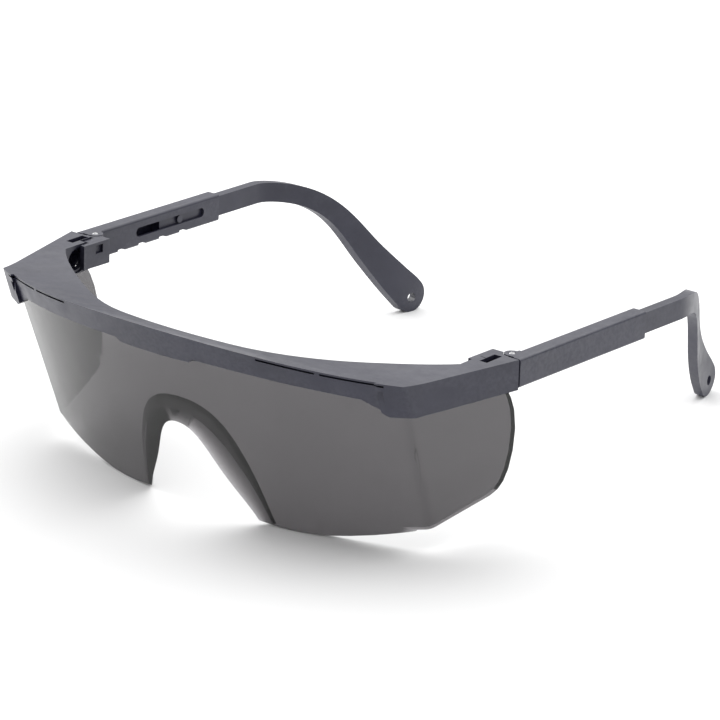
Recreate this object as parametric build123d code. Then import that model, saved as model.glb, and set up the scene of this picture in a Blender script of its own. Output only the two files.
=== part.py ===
from build123d import *
import math
import os

# Adjustable wrap-around safety glasses: brow frame, one-piece lens and two jointed temples.
#
# Everything is drawn in a working frame and moved onto the floor at the end.
# In the working frame X points to the wearer's left, Y points back towards the ears and Z is up.
# Y = 0 is at the two front corners of the frame and Z = 0 is the top face of the side arms.
# Dimensions are millimetres.

# Overall wrap of the front
CORNER_X = 67.2          # half width at the front corners
BROW_SAG = 18.4          # how far the middle of the brow stands ahead of the corners
SIDE_SPLAY = 0.24        # outward run of the side arms per mm backwards
LENS_RAKE = 0.385        # how far the lens slopes back per mm downwards
SHIELD_LEAN = 0.125      # how far the side shields lean in per mm downwards
BROW_RADIUS = (CORNER_X ** 2 + BROW_SAG ** 2) / (2 * BROW_SAG)

# Brow frame
ARM_DEPTH = 8.0
ARM_END_Y = 35.6
ARM_WALL = 3.0
BAND_SETBACK = 1.0       # the brow band stands this far behind the corner blocks
BAND_WALL = 4.6
CORNER_WALL = 5.0
SHELF_THICKNESS = 1.8
SHELF_END_Y = 23.4       # where the shelf's inner edge meets the ratchet housing
SHADOW_GROOVE = (0.5, 1.0)   # depth range of the fine groove under the front edge of the shelf
GROOVE_CLEARANCE = 0.06

# Lens
LENS_WALL = 2.0
LENS_SETBACK = 2.2       # lens face behind the outer face of the frame
LENS_BOTTOM = -50.0
SHIELD_REAR_Y = 40.2
NOSE_FLANGE_DEPTH = 4.2  # how far the nose flange reaches behind the lens face

# Ratchet pivot between the side arm and the hinge carrier
TILT_Y = 27.9
TILT_Z = -4.3
POCKET_X = (68.6, 71.6)
CHEEK_X = 66.6
DISC_RADIUS = 3.05
BORE_RADIUS = 2.9
LINK_COVER_X = (64.9, 66.3)  # plate of the link that laps over the round window
TILT_RELIEF = 0.19       # run-back per mm of the link's front faces, so that it clears at 9 degrees

# Temple
TEMPLE_DROP = 1.3        # degrees the temples point down from the side arms as built
TEMPLE_X = 73.0
SLEEVE_WIDTH = 4.6
SLEEVE_TOP = -0.2
SLEEVE_HEIGHT = 7.6
SLEEVE_FRONT_Y = 36.8
SLEEVE_REAR_Y = 90.5
PIN_X = 70.6
PIN_Y = 39.4
PIN_RADIUS = 0.9
KNUCKLE_RADIUS = 2.1
BAR_THICKNESS = 2.8
BAR_HEIGHT = 5.7
BAR_CENTRE_Z = -3.85
BAR_FRONT_Y = 66.5
BAR_STRAIGHT_Y = 107.6
FIT_GAP = 0.1
NOTCH_PITCH = 8.4
FIRST_NOTCH_Y = 50.0
STUD_Y = 74.3
STUD_TRAVEL = (-16.8, 8.4)
CORD_HOLE = (154.0, -40.4)
CORD_HOLE_RADIUS = 1.4

# Shift from the working frame to the floor frame, origin at the middle of the footprint
FLOOR_SHIFT = (0.0, -68.78, 50.15)
FLOOR_PITCH = 1.0        # degrees the frame tips back so lens and ear ends both rest on the floor


def top_height(y):
    """Height of the frame's top face, which rises towards the front."""
    if y < 8:
        return 0.0071 * (8 - y) ** 2
    return 0.0


def wrap_region(z, offset, lean, rear_y, corner_radius):
    """Plan outline of the wrap at one height, grown outwards by offset."""
    radius = BROW_RADIUS + offset
    centre_y = BROW_RADIUS - BROW_SAG - LENS_RAKE * z
    side_grow = offset * math.sqrt(1 + SIDE_SPLAY ** 2)
    side_x = CORNER_X + lean * z + side_grow

    def side(y):
        return side_x + SIDE_SPLAY * y

    corner_y = 0.0
    for _ in range(30):
        corner_y = centre_y - math.sqrt(radius ** 2 - side(corner_y) ** 2)
    corner = (side(corner_y), corner_y)
    rear = (side(rear_y), rear_y)
    front = ThreePointArc(
        (-corner[0], corner[1]), (0, centre_y - radius), corner
    )
    outline = Curve() + [
        front,
        Line(corner, rear),
        Line(rear, (-rear[0], rear[1])),
        Line((-rear[0], rear[1]), (-corner[0], corner[1])),
    ]
    face = make_face(outline)
    tight = [v for v in face.vertices() if abs(v.Y - corner_y) < 0.01]
    return Pos(0, 0, z) * fillet(tight, corner_radius)


def wrap_solid(z_low, z_high, offset, lean, rear_y=60.0, corner_radius=1.3):
    """Solid filling the wrap between two heights."""
    low = wrap_region(z_low, offset, lean, rear_y, corner_radius)
    high = wrap_region(z_high, offset, lean, rear_y, corner_radius)
    return loft([low, high], ruled=True)


def wrap_shell(z_low, z_high, offset, wall, lean, corner_radius=1.3):
    """Wall of even thickness that follows the wrap."""
    outer = wrap_solid(z_low, z_high, offset, lean, 60.0, corner_radius)
    inner = wrap_solid(z_low - 0.5, z_high + 0.5, offset - wall, lean, 61.0, corner_radius)
    return outer - inner


def mirrored(points):
    """Right half of a profile followed by its mirror image, left to right."""
    left = [(-x, z) for x, z in reversed(points) if x > 0.001]
    return left + list(points)


def side_prism(points, half_width=90.0):
    """Prism along X from a profile given as (y, z)."""
    face = make_face(Polyline([(y, z) for y, z in points], close=True))
    return extrude(Plane.YZ * face, half_width, both=True)


def front_prism(points, depth=120.0):
    """Prism along Y from a profile given as (x, z)."""
    face = make_face(Polyline([(x, -z) for x, z in points], close=True))
    plane = Plane(origin=(0, 0, 0), x_dir=(1, 0, 0), z_dir=(0, 1, 0))
    return extrude(plane * face, depth, both=True)


def top_profile(drop=0.0):
    """Points along the frame's top face, front to back, as (y, z)."""
    rows = [-26 + 2 * step for step in range(18)] + [45]
    return [(y, top_height(y) - drop) for y in rows]


def under_top(drop=0.0):
    """Everything below the frame's top face, or below a face parallel to it."""
    return side_prism(top_profile(drop) + [(45, -70), (-26, -70)])


def brow_bottom():
    """Lower edge of the brow band and corner blocks, as (x, z) for the right half."""
    return [
        (0, -2.5),
        (11.5, -2.4),
        (12.6, -1.3),
        (20, -1.6),
        (30, -2.2),
        (45, -3.5),
        (56.3, -4.7),
        (62.7, -8.9),
        (70, -8.5),
        (76, -ARM_DEPTH),
        (90, -ARM_DEPTH),
    ]


def shelf_inner_edge():
    """Rear edge of the brow shelf, as (x, y) for the right half."""
    return [
        (0, -9.0),
        (7, -8.7),
        (14, -7.9),
        (21, -6.5),
        (29, -3.3),
        (38, 1.8),
        (47, 7.6),
        (55.5, 13.6),
        (61.5, 18.4),
        (CHEEK_X, SHELF_END_Y),
    ]


def brow_shelf():
    """Flat guard that closes the space above the lens."""
    inner = shelf_inner_edge()
    right = Spline(*inner)
    left = Spline(*[(-x, y) for x, y in reversed(inner)])
    rear = ARM_END_Y - 4.5
    outline = Curve() + [
        left,
        right,
        Polyline((CHEEK_X, SHELF_END_Y), (CHEEK_X, rear), (80, rear), (80, -40)),
        Line((80, -40), (-80, -40)),
        Polyline((-80, -40), (-80, rear), (-CHEEK_X, rear), (-CHEEK_X, SHELF_END_Y)),
    ]
    plate = extrude(make_face(outline), 30, both=True)
    slab = under_top() - under_top(SHELF_THICKNESS)
    return plate & slab & wrap_solid(-12, 10, -1.5, 0.0)


def hinge_block(side):
    """Ratchet housing at the rear end of one side arm."""
    height = ARM_DEPTH
    mid_z = -height / 2
    rear = ARM_END_Y - 4.5
    cheek = Pos(0, (21.5 + rear) / 2, mid_z) * Box(20, rear - 21.5, height)
    cheek = Pos(side * (CHEEK_X + 10), 0, 0) * cheek
    skin_y = (rear + ARM_END_Y) / 2
    skin = Pos(side * (POCKET_X[0] + 10), skin_y, -0.5) * Box(20, ARM_END_Y - rear, 1.0)
    return cheek + skin


def hinge_cuts(side):
    """Pocket, top slot, round window and pivot socket of one ratchet housing."""
    pocket_mid = side * (POCKET_X[0] + POCKET_X[1]) / 2
    pocket_wide = POCKET_X[1] - POCKET_X[0]
    at_pivot = Pos(pocket_mid, TILT_Y, TILT_Z)
    pocket = at_pivot * Rot(0, 90, 0) * Cylinder(DISC_RADIUS + 0.2, pocket_wide)
    channel_low = TILT_Z - DISC_RADIUS - 0.2
    channel_high = -1.0
    channel = Box(pocket_wide, 10, channel_high - channel_low)
    channel = Pos(pocket_mid, TILT_Y + 5, (channel_low + channel_high) / 2) * channel
    slot = Pos(side * 69.9, 31.6, 0) * Box(2.3, 6.2, 4)
    window = Pos(side * (POCKET_X[0] - 1), TILT_Y, TILT_Z) * Rot(0, 90, 0) * Cylinder(BORE_RADIUS, 2.4)
    rim = Pos(side * CHEEK_X, TILT_Y, TILT_Z) * Rot(0, 90, 0) * Cylinder(BORE_RADIUS + 0.7, 1.0)
    socket = Pos(side * (POCKET_X[1] + 0.6), TILT_Y, TILT_Z) * Rot(0, 90, 0) * Cylinder(1.65, 1.4)
    return pocket + channel + slot + window + rim + socket


def corner_step(side):
    """Wedge that deepens the step where the brow band meets the corner block."""
    plan = [(62.4, -7.5), (62.4, -0.9), (59.0, -3.4), (58.0, -7.5)]
    plan = [(side * x, y) for x, y in plan]
    wedge = extrude(make_face(Polyline(*plan, plan[0])), 20)
    return Pos(0, 0, -20 - 1.4) * wedge


def shadow_groove():
    """Fine groove between shelf and brow band, bridged once on each side."""
    shell = wrap_shell(-14, 9, 0.5, 2.3, 0.0)
    slab = under_top(SHADOW_GROOVE[0]) - under_top(SHADOW_GROOVE[1])
    groove = shell & slab
    zone = Part()
    for side in (1, -1):
        for inner, outer in ((32.0, 46.6), (47.8, 63.0)):
            zone = zone + Pos(side * (inner + outer) / 2, -10, 0) * Box(outer - inner, 30, 40)
    return groove & zone


def build_brow_frame():
    """Brow band, corner blocks, side arms, shelf and ratchet housings in one moulding."""
    front_only = Pos(0, -30, 0) * Box(200, 84, 60)
    arms = wrap_shell(-14, 9, 0.0, ARM_WALL, 0.0) & (Pos(0, ARM_END_Y - 50, 0) * Box(200, 100, 60))
    corner_zone = Pos(71, 2, 0) * Box(20, 18, 60) + Pos(-71, 2, 0) * Box(20, 18, 60)
    corners = wrap_shell(-14, 9, 0.0, CORNER_WALL, 0.0) & corner_zone
    band_zone = Pos(0, -20, 0) * Box(123.5, 60, 60)
    band = wrap_shell(-14, 9, -BAND_SETBACK, BAND_WALL, 0.0) & band_zone
    arm_zone = Pos(76, 0, 0) * Box(28, 200, 60) + Pos(-76, 0, 0) * Box(28, 200, 60)
    body = (arms & arm_zone) + corners + (band & front_only)
    body = body + (hinge_block(1) & wrap_solid(-14, 9, -0.5, 0.0))
    body = body + (hinge_block(-1) & wrap_solid(-14, 9, -0.5, 0.0))
    below = mirrored(brow_bottom())
    body = body - front_prism(below + [(90, -40), (-90, -40)])
    body = (body & under_top()) + brow_shelf()
    body = body - hinge_cuts(1) - hinge_cuts(-1) - corner_step(1) - corner_step(-1)
    body = body - shadow_groove()
    groove = wrap_shell(
        -14, 9,
        -LENS_SETBACK + GROOVE_CLEARANCE,
        LENS_WALL + 2 * GROOVE_CLEARANCE,
        SHIELD_LEAN,
        3.5,
    )
    groove = groove & (Pos(0, -20, 0) * Box(200, 84, 60))
    groove = groove & under_top(2.4 - GROOVE_CLEARANCE)
    return body - groove


def arch(grow):
    """Nose notch outline on the raked lens plane, grown sideways and upwards."""
    return [
        (19.8 + 0.4 * grow, -62.0),
        (16.2 + 0.5 * grow, -50.5 + 0.2 * grow),
        (12.3 + 0.75 * grow, -43.3 + 0.35 * grow),
        (9.0 + 0.8 * grow, -35.9 + 0.5 * grow),
        (6.2 + 0.65 * grow, -29.6 + 0.6 * grow),
        (3.4 + 0.35 * grow, -26.3 + 0.65 * grow),
        (0.0, -25.3 + 0.65 * grow),
    ]


def arch_face(grow):
    """Closed face of the nose notch in its own plane."""
    right = arch(grow)
    left = [(-x, v) for x, v in reversed(right[:-1])]
    points = right + left
    curve = Spline(*points)
    return make_face(Curve() + [curve, Line(points[-1], points[0])])


def arch_solid(grow_front, grow_rear, depth):
    """Flared plug of the nose notch, from the lens face backwards."""
    length = math.sqrt(1 + LENS_RAKE ** 2)
    facing = (0, -1 / length, -LENS_RAKE / length)
    setback = -BROW_SAG + LENS_SETBACK
    plane = Plane(origin=(0, setback, 0), x_dir=(1, 0, 0), z_dir=facing)
    front = plane * arch_face(grow_front)
    rear = plane * Pos(0, 0, -depth) * arch_face(grow_rear)
    ahead = extrude(plane * arch_face(grow_front), 6)
    return loft([front, rear], ruled=True) + ahead


def lens_bottom_edge():
    """Lower edge of the lens in front view, as (x, z) for the right half."""
    return [
        (0, -49.4),
        (14, -49.0),
        (16.5, -48.9),
        (20, -49.2),
        (24, -49.7),
        (30, LENS_BOTTOM),
        (36, -49.6),
        (43, -48.4),
        (50, -46.9),
        (56.6, -45.2),
        (62.5, -43.5),
        (90, -43.5),
    ]


def shield_outline():
    """Material to cut away below and behind the side shields, as (y, z)."""
    return [
        (15.6, -60),
        (15.6, -43.7),
        (SHIELD_REAR_Y - 5.3, -38.0),
        (SHIELD_REAR_Y - 3.2, -36.8),
        (SHIELD_REAR_Y - 1.7, -34.8),
        (SHIELD_REAR_Y - 0.6, -31.6),
        (SHIELD_REAR_Y, -26.5),
        (SHIELD_REAR_Y - 0.2, -20.5),
        (SHIELD_REAR_Y - 1.4, -15.0),
        (SHIELD_REAR_Y - 3.0, -11.3),
        (SHIELD_REAR_Y - 4.8, -ARM_DEPTH - 0.5),
        (20.5, -ARM_DEPTH - 0.5),
        (20.5, 12),
        (70, 12),
        (70, -60),
    ]


def build_lens():
    """Front pane, side shields and nose flange in one moulding."""
    z_low = -54
    z_high = 8
    shell = wrap_shell(z_low, z_high, -LENS_SETBACK, LENS_WALL, SHIELD_LEAN, 3.5)
    opening = arch_solid(0.0, 6.6, NOSE_FLANGE_DEPTH)
    flange = arch_solid(2.4, 9.0, NOSE_FLANGE_DEPTH) - opening
    face = wrap_solid(z_low, z_high, -LENS_SETBACK, SHIELD_LEAN, 60.0, 3.5)
    flange = flange & face
    lens = (shell - opening) + flange
    below = mirrored(lens_bottom_edge())
    lens = lens - front_prism(below + [(90, -80), (-90, -80)])
    lens = lens - side_prism(shield_outline())
    return lens & under_top(2.4)


def temple_frame(solid):
    """Turn a temple piece, drawn level, down about the ratchet pivot."""
    pivot = Pos(0, TILT_Y, TILT_Z)
    return pivot * Rot(-TEMPLE_DROP, 0, 0) * Pos(0, -TILT_Y, -TILT_Z) * solid


def block(x_range, y_range, z_range):
    """Box between three pairs of limits."""
    size = [high - low for low, high in (x_range, y_range, z_range)]
    middle = [(high + low) / 2 for low, high in (x_range, y_range, z_range)]
    return Pos(*middle) * Box(*size)


def upright(radius, z_range, extra=0.0):
    """Cylinder on the fold axis."""
    height = z_range[1] - z_range[0]
    return Pos(PIN_X, PIN_Y, (z_range[0] + z_range[1]) / 2) * Cylinder(radius + extra, height)


SLEEVE_BOTTOM = SLEEVE_TOP - SLEEVE_HEIGHT
MIDDLE_LEAF = (-5.4, -2.6)
TOP_LEAF = (MIDDLE_LEAF[1] + 0.15, SLEEVE_TOP)
BOTTOM_LEAF = (SLEEVE_BOTTOM, MIDDLE_LEAF[0] - 0.15)


def build_hinge_carrier():
    """Ratchet link: toothed disc in the side arm, block and middle knuckle behind it."""
    disc_x = (POCKET_X[0] + 0.3, POCKET_X[1] - 0.3)
    disc_mid = sum(disc_x) / 2
    disc = Pos(disc_mid, TILT_Y, TILT_Z) * Rot(0, 90, 0) * Cylinder(DISC_RADIUS, disc_x[1] - disc_x[0])
    for step in range(5):
        angle = math.radians(180 + 24 * (step - 2))
        tooth_y = TILT_Y + DISC_RADIUS * math.cos(angle)
        tooth_z = TILT_Z + DISC_RADIUS * math.sin(angle)
        groove = Pos(disc_mid, tooth_y, tooth_z) * Rot(45, 0, 0) * Box(4, 0.5, 0.5)
        disc = disc - groove
    trunnion = Pos(disc_x[1] + 0.5, TILT_Y, TILT_Z) * Rot(0, 90, 0) * Cylinder(1.58, 1.2)
    neck = block(disc_x, (TILT_Y, PIN_Y - 2.6), (TILT_Z - 1.6, TILT_Z + 1.6))
    z_range = (SLEEVE_BOTTOM + 0.8, SLEEVE_TOP - 0.1)
    body = block((LINK_COVER_X[0], disc_x[1]), (31.3, PIN_Y - 0.5), z_range)
    under_skin = block((POCKET_X[0] - 0.25, 72), (31.0, ARM_END_Y + 0.8), (TILT_Z + 1.6, 2))
    below_skin = block((POCKET_X[0] - 0.25, 72), (31.0, ARM_END_Y + 0.8), (-10, TILT_Z - 1.6))
    clear_of_cheek = [
        (TILT_Y - 2, TILT_Z + 12),
        (TILT_Y + 3.5 + 12 * TILT_RELIEF, TILT_Z + 12),
        (TILT_Y + 3.5, TILT_Z),
        (TILT_Y + 3.5 + 12 * TILT_RELIEF, TILT_Z - 12),
        (TILT_Y - 2, TILT_Z - 12),
    ]
    body = body - under_skin - below_skin - side_prism(clear_of_cheek)
    body = body + block(LINK_COVER_X, (TILT_Y + 0.9, PIN_Y - 0.5), z_range)
    body = body - upright(KNUCKLE_RADIUS, (MIDDLE_LEAF[1], 2), 0.3)
    body = body - upright(KNUCKLE_RADIUS, (-10, MIDDLE_LEAF[0]), 0.3)
    body = body - block((60, LINK_COVER_X[0] + 0.8), (33.4, 36.2), (-3.4, -1.1))
    knuckle = upright(KNUCKLE_RADIUS, MIDDLE_LEAF)
    web = block((68.4, disc_x[1]), (PIN_Y - 3, PIN_Y), MIDDLE_LEAF)
    carrier = disc + trunnion + neck + body + knuckle + web
    hub = Pos(disc_x[0] + 0.7, TILT_Y, TILT_Z) * Rot(0, 90, 0) * Cylinder(2.4, 2.4)
    carrier = carrier - hub - upright(PIN_RADIUS, (-10, 2), 0.03)
    return temple_frame(carrier)


def build_hinge_pin():
    """Straight pin with a domed top that the temple folds on."""
    shank = upright(PIN_RADIUS, (SLEEVE_BOTTOM + 0.1, SLEEVE_TOP + 0.1))
    return temple_frame(chamfer(shank.edges().group_by(Axis.Z)[-1], 0.25))


def rounded_bar(width, height, radius, y_range, x, z):
    """Bar along Y with a rounded rectangular section."""
    section = Plane(origin=(x, y_range[0], z), x_dir=(1, 0, 0), z_dir=(0, 1, 0))
    profile = section * RectangleRounded(width, height, radius)
    return extrude(profile, y_range[1] - y_range[0])


def build_temple_sleeve():
    """Hollow front half of the temple with its outer hinge leaves."""
    mid_z = SLEEVE_TOP - SLEEVE_HEIGHT / 2
    outer = rounded_bar(
        SLEEVE_WIDTH, SLEEVE_HEIGHT, 0.7, (SLEEVE_FRONT_Y, SLEEVE_REAR_Y), TEMPLE_X, mid_z
    )
    body_front = PIN_Y + 2.45
    room = block((TEMPLE_X - 4, PIN_X + KNUCKLE_RADIUS + 0.3), (SLEEVE_FRONT_Y - 1, body_front), (-12, 4))
    sleeve = outer - room
    for leaf in (TOP_LEAF, BOTTOM_LEAF):
        plate = block((PIN_X, TEMPLE_X + 1.5), (PIN_Y - KNUCKLE_RADIUS, body_front + 0.5), leaf)
        sleeve = sleeve + upright(KNUCKLE_RADIUS, leaf) + plate
    cavity = block(
        (TEMPLE_X - BAR_THICKNESS / 2 - FIT_GAP, TEMPLE_X + BAR_THICKNESS / 2 + FIT_GAP),
        (BAR_FRONT_Y - 23.0, SLEEVE_REAR_Y + 1),
        (BAR_CENTRE_Z - BAR_HEIGHT / 2 - FIT_GAP, BAR_CENTRE_Z + BAR_HEIGHT / 2 + FIT_GAP),
    )
    slot_y = (STUD_Y + STUD_TRAVEL[0] - 1.4, STUD_Y + STUD_TRAVEL[1] + 1.4)
    slot = block((TEMPLE_X - 4, TEMPLE_X), slot_y, (-5.1, -2.5))
    slot = fillet(slot.edges().filter_by(Axis.X), 1.25)
    sleeve = sleeve - cavity - slot
    inner_half = block((TEMPLE_X - 5, TEMPLE_X + 0.4), (SLEEVE_FRONT_Y, SLEEVE_REAR_Y), (-12, 4))
    for step in range(4):
        y = FIRST_NOTCH_Y + step * NOTCH_PITCH
        notch = [
            (y - 1.2, SLEEVE_BOTTOM - 1),
            (y - 1.2, SLEEVE_BOTTOM + 0.8),
            (y + 0.2, SLEEVE_BOTTOM + 0.8),
            (y + 2.6, SLEEVE_BOTTOM - 0.1),
            (y + 2.6, SLEEVE_BOTTOM - 1),
        ]
        sleeve = sleeve - (side_prism(notch) & inner_half)
    sleeve = sleeve - upright(PIN_RADIUS, (-10, 2), 0.03)
    return temple_frame(sleeve)


def tip_side_profile():
    """Upper and lower edges of the ear bend and flat end in side view, as (y, z)."""
    centre = [
        (BAR_STRAIGHT_Y + 4.4, -4.1, 5.6),
        (118.0, -5.2, 5.5),
        (124.2, -7.5, 5.4),
        (129.8, -11.4, 5.4),
        (134.6, -16.8, 5.7),
        (139.3, -23.4, 6.6),
        (144.4, -29.8, 8.0),
        (150.0, -36.0, 9.4),
        (153.6, -39.8, 9.8),
    ]
    upper = []
    lower = []
    for index, (y, z, width) in enumerate(centre):
        before = centre[max(index - 1, 0)]
        after = centre[min(index + 1, len(centre) - 1)]
        run = math.hypot(after[0] - before[0], after[1] - before[1])
        normal = (-(after[1] - before[1]) / run, (after[0] - before[0]) / run)
        upper.append((y + normal[0] * width / 2, z + normal[1] * width / 2))
        lower.append((y - normal[0] * width / 2, z - normal[1] * width / 2))
    return upper, lower


def tip_plan_centre():
    """Centre line of the bar and ear bend in plan, as (x, y)."""
    return [
        (TEMPLE_X, BAR_STRAIGHT_Y),
        (72.1, 112.3),
        (69.6, 118.2),
        (66.4, 124.2),
        (63.3, 129.8),
        (60.4, 134.8),
        (57.7, 139.4),
        (55.3, 144.2),
        (53.3, 149.5),
        (51.8, 155.0),
        (50.6, 163.0),
    ]


def build_temple_tip():
    """Sliding bar, ear bend and flat end with its cord hole."""
    high = BAR_CENTRE_Z + BAR_HEIGHT / 2
    low = BAR_CENTRE_Z - BAR_HEIGHT / 2
    upper, lower = tip_side_profile()
    top_line = Spline((BAR_STRAIGHT_Y, high), *upper, tangents=[(1, 0), (0.66, -0.75)])
    end_cap = ThreePointArc(upper[-1], (157.0, -43.2), lower[-1])
    under_line = Spline(*reversed(lower), (BAR_STRAIGHT_Y, low), tangents=[(-0.66, 0.75), (-1, 0)])
    front = Polyline(
        (BAR_STRAIGHT_Y, low), (BAR_FRONT_Y, low), (BAR_FRONT_Y, high), (BAR_STRAIGHT_Y, high)
    )
    outline = make_face(Curve() + [top_line, end_cap, under_line, front])
    side = extrude(Plane.YZ * outline, 120)
    half = BAR_THICKNESS / 2
    centre = Spline(*tip_plan_centre(), tangents=[(0, 1), (-0.15, 0.99)])
    start_y = BAR_FRONT_Y - 1
    ribbon = []
    for index in range(41):
        at = index / 40
        point = centre @ at
        along = centre % at
        ribbon.append((point.X + along.Y * half, point.Y - along.X * half,
                       point.X - along.Y * half, point.Y + along.X * half))
    outer = Spline(*[(row[0], row[1]) for row in ribbon])
    inner = Spline(*[(row[2], row[3]) for row in reversed(ribbon)])
    first = ribbon[0]
    last = ribbon[-1]
    plan = make_face(Curve() + [
        outer,
        Line((last[0], last[1]), (last[2], last[3])),
        inner,
        Polyline((first[2], first[3]), (first[2], start_y), (first[0], start_y), (first[0], first[1])),
    ])
    tip = side & extrude(plan, 80, both=True)
    stud = Pos(TEMPLE_X - half - 0.3, STUD_Y, -3.8) * Rot(0, 90, 0) * Cylinder(1.1, 0.8)
    hole = Pos(52, CORD_HOLE[0], CORD_HOLE[1]) * Rot(0, 0, 17) * Rot(0, 90, 0)
    hole = hole * Cylinder(CORD_HOLE_RADIUS, 20)
    return temple_frame(tip + stud - hole)


def on_floor(solid):
    """Move a piece from the working frame to the floor frame."""
    return Pos(*FLOOR_SHIFT) * Rot(-FLOOR_PITCH, 0, 0) * solid


def mirror_piece(solid):
    """Same piece for the wearer's right side."""
    return mirror(solid, about=Plane.YZ)


PAIRED = {
    "hinge_carrier": build_hinge_carrier,
    "hinge_pin": build_hinge_pin,
    "temple_sleeve": build_temple_sleeve,
    "temple_tip": build_temple_tip,
}

os.makedirs("parts", exist_ok=True)
export_step(on_floor(build_brow_frame()), "parts/brow_frame.step")
export_step(on_floor(build_lens()), "parts/lens.step")
for name, build in PAIRED.items():
    left = on_floor(build())
    export_step(left, f"parts/{name}_left.step")
    export_step(mirror_piece(left), f"parts/{name}_right.step")
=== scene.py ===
"""Wrap-around safety glasses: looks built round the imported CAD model.

Every piece is a CAD node with a procedural material.
Lengths are metres, in the frame's own axes: X to the wearer's left, Y back, Z up.
"""
import math

import bpy
from mathutils import Matrix, Vector

# Camera: a long lens at the front left of the wearer, a little above the glasses
CAMERA_PLACE = (0.68448, -0.84669, 0.43358)
CAMERA_TARGET = (0.00719, -0.01158, 0.02647)
CAMERA_ROLL = 0.46            # degrees
CAMERA_LENS = 217.95          # mm on a 36 mm sensor

# Bevel widths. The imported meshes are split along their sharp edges, so the bevels have almost no effect.
FRAME_EDGE = 0.00028
LENS_EDGE = 0.00016
PIN_EDGE = 0.00008
SHARP_ANGLE = math.radians(28)

# Colours, linear
NYLON_DARK = (0.016, 0.0165, 0.032, 1.0)
NYLON_LIGHT = (0.022, 0.0225, 0.042, 1.0)
NYLON_WORN = (0.052, 0.053, 0.075, 1.0)
LENS_TINT = (0.42, 0.41, 0.42, 1.0)
SMOKE_COLOUR = (0.30, 0.29, 0.30, 1.0)
SMOKE_DENSITY = 950.0         # per metre: a 2 mm wall passes about a quarter of the light
STEEL_COLOUR = (0.46, 0.46, 0.47, 1.0)
STEEL_DULL = (0.30, 0.30, 0.31, 1.0)
FLOOR_COLOUR = (0.86, 0.86, 0.86, 1.0)
FLOOR_HALF = 3.0
WORLD_STRENGTH = 0.66

FRAME_NODES = (
    "brow_frame",
    "hinge_carrier_left",
    "hinge_carrier_right",
    "temple_sleeve_left",
    "temple_sleeve_right",
    "temple_tip_left",
    "temple_tip_right",
)
PIN_NODES = ("hinge_pin_left", "hinge_pin_right")


class Graph:
    """Short way to add and join the nodes of one material."""

    def __init__(self, name):
        self.material = bpy.data.materials.new(name)
        self.material.use_nodes = True
        self.tree = self.material.node_tree
        self.tree.nodes.clear()
        self.out = self.add("ShaderNodeOutputMaterial")

    def add(self, kind, **values):
        """One node, with its plain properties or its inputs set by name."""
        node = self.tree.nodes.new(kind)
        for key, value in values.items():
            if hasattr(node, key):
                setattr(node, key, value)
            else:
                node.inputs[key.replace("_", " ")].default_value = value
        return node

    def join(self, source, target):
        self.tree.links.new(source, target)

    def noise(self, scale, detail=2.0, roughness=0.5, stretch=(1, 1, 1)):
        """Noise over object space; scale is in cells per metre."""
        place = self.add("ShaderNodeTexCoord")
        shape = self.add("ShaderNodeMapping")
        shape.inputs["Scale"].default_value = stretch
        self.join(place.outputs["Object"], shape.inputs["Vector"])
        cells = self.add("ShaderNodeTexNoise", Scale=scale, Detail=detail, Roughness=roughness)
        self.join(shape.outputs["Vector"], cells.inputs["Vector"])
        return cells.outputs["Fac"]

    def to_range(self, value, from_low, from_high, low, high):
        """Map one range of values to another, clamped."""
        node = self.add("ShaderNodeMapRange")
        for name, number in zip(
            ("From Min", "From Max", "To Min", "To Max"), (from_low, from_high, low, high)
        ):
            node.inputs[name].default_value = number
        self.join(value, node.inputs["Value"])
        return node.outputs["Result"]

    def math(self, operation, a, b):
        """Two values combined; each is a socket or a number."""
        node = self.add("ShaderNodeMath", operation=operation)
        for socket, value in zip(node.inputs, (a, b)):
            if isinstance(value, (int, float)):
                socket.default_value = value
            else:
                self.join(value, socket)
        return node.outputs["Value"]

    def mix(self, factor, a, b):
        """Two colours mixed; each is a socket or a colour."""
        node = self.add("ShaderNodeMix", data_type="RGBA")
        self.join(factor, node.inputs[0])
        for socket, value in ((node.inputs[6], a), (node.inputs[7], b)):
            if isinstance(value, tuple):
                socket.default_value = value
            else:
                self.join(value, socket)
        return node.outputs[2]

    def bump(self, height, strength, distance, below=None):
        node = self.add("ShaderNodeBump", Strength=strength, Distance=distance)
        self.join(height, node.inputs["Height"])
        if below is not None:
            self.join(below, node.inputs["Normal"])
        return node.outputs["Normal"]


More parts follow.
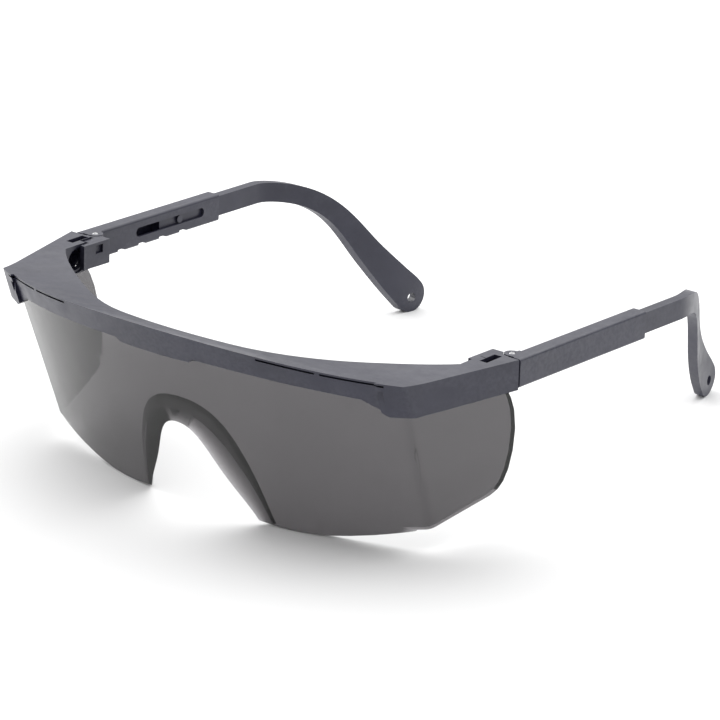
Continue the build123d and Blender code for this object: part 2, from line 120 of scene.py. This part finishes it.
def nylon_material():
    """Satin moulded nylon: fine spark-eroded grain, flow clouding, paler rubbed edges and light scuffs."""
    g = Graph("frame_nylon")
    shader = g.add("ShaderNodeBsdfPrincipled")
    clouds = g.to_range(g.noise(55, 4, 0.6), 0.35, 0.68, 0.0, 1.0)
    speckle = g.noise(2600, 2, 0.55)
    grain = g.noise(5200, 3, 0.6)
    ripple = g.noise(140, 2, 0.5, (1.0, 0.35, 1.0))
    scuffs = g.to_range(g.noise(420, 5, 0.7, (1.0, 0.12, 2.4)), 0.62, 0.74, 0.0, 1.0)
    shape = g.add("ShaderNodeNewGeometry")
    rubbed = g.to_range(shape.outputs["Pointiness"], 0.53, 0.64, 0.0, 1.0)
    rubbed = g.math("MULTIPLY", rubbed, g.to_range(g.noise(900, 4, 0.65), 0.38, 0.62, 0.15, 0.75))
    colour = g.mix(clouds, NYLON_DARK, NYLON_LIGHT)
    colour = g.mix(g.to_range(speckle, 0.55, 0.8, 0.0, 0.25), colour, NYLON_LIGHT)
    colour = g.mix(rubbed, colour, NYLON_WORN)
    g.join(colour, shader.inputs["Base Color"])
    rough = g.to_range(g.noise(230, 3, 0.55), 0.3, 0.7, 0.33, 0.45)
    rough = g.math("ADD", rough, g.math("MULTIPLY", scuffs, 0.10))
    g.join(rough, shader.inputs["Roughness"])
    shader.inputs["IOR"].default_value = 1.53
    waves = g.bump(ripple, 0.05, 0.0002)
    normal = g.bump(grain, 0.12, 0.00002, waves)
    g.join(normal, shader.inputs["Normal"])
    g.join(shader.outputs["BSDF"], g.out.inputs["Surface"])
    return g.material


def lens_material():
    """Smoke polycarbonate: tinted clear body, a faint haze, hair scratches and a soft moulding ripple."""
    g = Graph("smoke_polycarbonate")
    shader = g.add("ShaderNodeBsdfPrincipled")
    haze = g.to_range(g.noise(90, 3, 0.5), 0.3, 0.7, 0.0, 1.0)
    scratches = g.to_range(g.noise(700, 3, 0.7, (0.05, 1.0, 1.6)), 0.70, 0.76, 0.0, 1.0)
    tint = g.mix(haze, LENS_TINT, tuple(c * 0.95 for c in LENS_TINT[:3]) + (1.0,))
    g.join(tint, shader.inputs["Base Color"])
    shader.inputs["Transmission Weight"].default_value = 1.0
    shader.inputs["IOR"].default_value = 1.45
    rough = g.to_range(haze, 0.0, 1.0, 0.03, 0.06)
    rough = g.math("ADD", rough, g.math("MULTIPLY", scratches, 0.12))
    g.join(rough, shader.inputs["Roughness"])
    g.join(g.bump(g.noise(60, 2, 0.5), 0.05, 0.0006), shader.inputs["Normal"])
    g.join(shader.outputs["BSDF"], g.out.inputs["Surface"])
    smoke = g.add("ShaderNodeVolumeAbsorption", Density=SMOKE_DENSITY)
    smoke.inputs["Color"].default_value = SMOKE_COLOUR
    g.join(smoke.outputs["Volume"], g.out.inputs["Volume"])
    return g.material


def steel_material():
    """Drawn steel pin with turning marks on its end."""
    g = Graph("pin_steel")
    shader = g.add("ShaderNodeBsdfPrincipled")
    shader.inputs["Metallic"].default_value = 1.0
    lines = g.noise(9000, 2, 0.5, (1.0, 1.0, 0.06))
    patches = g.to_range(g.noise(1500, 3, 0.6), 0.4, 0.7, 0.0, 0.5)
    dull = g.mix(patches, STEEL_COLOUR, STEEL_DULL)
    g.join(dull, shader.inputs["Base Color"])
    g.join(g.to_range(lines, 0.3, 0.7, 0.22, 0.42), shader.inputs["Roughness"])
    g.join(g.bump(lines, 0.2, 0.00003), shader.inputs["Normal"])
    g.join(shader.outputs["BSDF"], g.out.inputs["Surface"])
    return g.material


def floor_material():
    """Plain pale matt floor."""
    g = Graph("studio_floor")
    shader = g.add("ShaderNodeBsdfPrincipled", Roughness=0.9)
    tone = g.to_range(g.noise(6, 3, 0.5), 0.3, 0.7, 0.0, 1.0)
    paler = tuple(c * 1.02 for c in FLOOR_COLOUR[:3]) + (1.0,)
    g.join(g.mix(tone, FLOOR_COLOUR, paler), shader.inputs["Base Color"])
    shader.inputs["Specular IOR Level"].default_value = 0.1
    g.join(shader.outputs["BSDF"], g.out.inputs["Surface"])
    return g.material


def dress(name, material, edge):
    """Give one CAD node its material and a bevel on the few sharp edges that its split mesh still joins."""
    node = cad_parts[name]
    node.data.materials.clear()
    node.data.materials.append(material)
    rounding = node.modifiers.new("edge_rounding", "BEVEL")
    rounding.width = edge
    rounding.segments = 2
    rounding.limit_method = "ANGLE"
    rounding.angle_limit = SHARP_ANGLE
    rounding.harden_normals = True
    rounding.use_clamp_overlap = True


def build_floor():
    mesh = bpy.data.meshes.new("studio_floor")
    half = FLOOR_HALF
    corners = [(-half, -half, 0), (half, -half, 0), (half, half, 0), (-half, half, 0)]
    mesh.from_pydata(corners, [], [(0, 1, 2, 3)])
    floor = bpy.data.objects.new("studio_floor", mesh)
    bpy.context.collection.objects.link(floor)
    floor.data.materials.append(floor_material())


def add_soft_light(name, place, target, size, power):
    data = bpy.data.lights.new(name, "AREA")
    data.shape = "RECTANGLE"
    data.size = size[0]
    data.size_y = size[1]
    data.energy = power
    lamp = bpy.data.objects.new(name, data)
    bpy.context.collection.objects.link(lamp)
    lamp.location = place
    lamp.rotation_euler = (Vector(target) - Vector(place)).to_track_quat("-Z", "Y").to_euler()


def build_lights():
    """Even pale room, a large soft box overhead and behind, and a weaker one on the camera's left."""
    world = bpy.data.worlds.new("studio")
    world.use_nodes = True
    bpy.context.scene.world = world
    background = world.node_tree.nodes["Background"]
    background.inputs["Color"].default_value = (1.0, 1.0, 1.0, 1.0)
    background.inputs["Strength"].default_value = WORLD_STRENGTH
    add_soft_light("top_box", (-0.15, 0.35, 0.9), (0.0, 0.0, 0.0), (2.0, 1.8), 17.0)
    add_soft_light("far_box", (-0.9, -0.1, 0.45), (0.0, 0.0, 0.02), (0.5, 0.5), 4.0)


def build_camera():
    data = bpy.data.cameras.new("camera")
    data.lens = CAMERA_LENS
    data.sensor_width = 36.0
    data.clip_start = 0.05
    data.clip_end = 20.0
    camera = bpy.data.objects.new("camera", data)
    bpy.context.collection.objects.link(camera)
    look = (Vector(CAMERA_TARGET) - Vector(CAMERA_PLACE)).to_track_quat("-Z", "Y").to_matrix().to_4x4()
    roll = Matrix.Rotation(math.radians(CAMERA_ROLL), 4, "Z")
    camera.matrix_world = Matrix.Translation(CAMERA_PLACE) @ look @ roll
    bpy.context.scene.camera = camera


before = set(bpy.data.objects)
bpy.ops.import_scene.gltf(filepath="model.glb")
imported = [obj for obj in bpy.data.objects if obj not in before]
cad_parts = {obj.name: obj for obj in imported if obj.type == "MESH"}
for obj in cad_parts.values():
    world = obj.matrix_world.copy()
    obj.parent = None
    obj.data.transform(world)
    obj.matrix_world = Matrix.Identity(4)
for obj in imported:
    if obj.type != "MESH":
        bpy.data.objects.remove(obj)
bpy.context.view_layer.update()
bpy.context.scene.view_settings.view_transform = "Standard"

build_floor()
build_lights()
build_camera()

nylon = nylon_material()
for node_name in FRAME_NODES:
    dress(node_name, nylon, FRAME_EDGE)
dress("lens", lens_material(), LENS_EDGE)
steel = steel_material()
for node_name in PIN_NODES:
    dress(node_name, steel, PIN_EDGE)
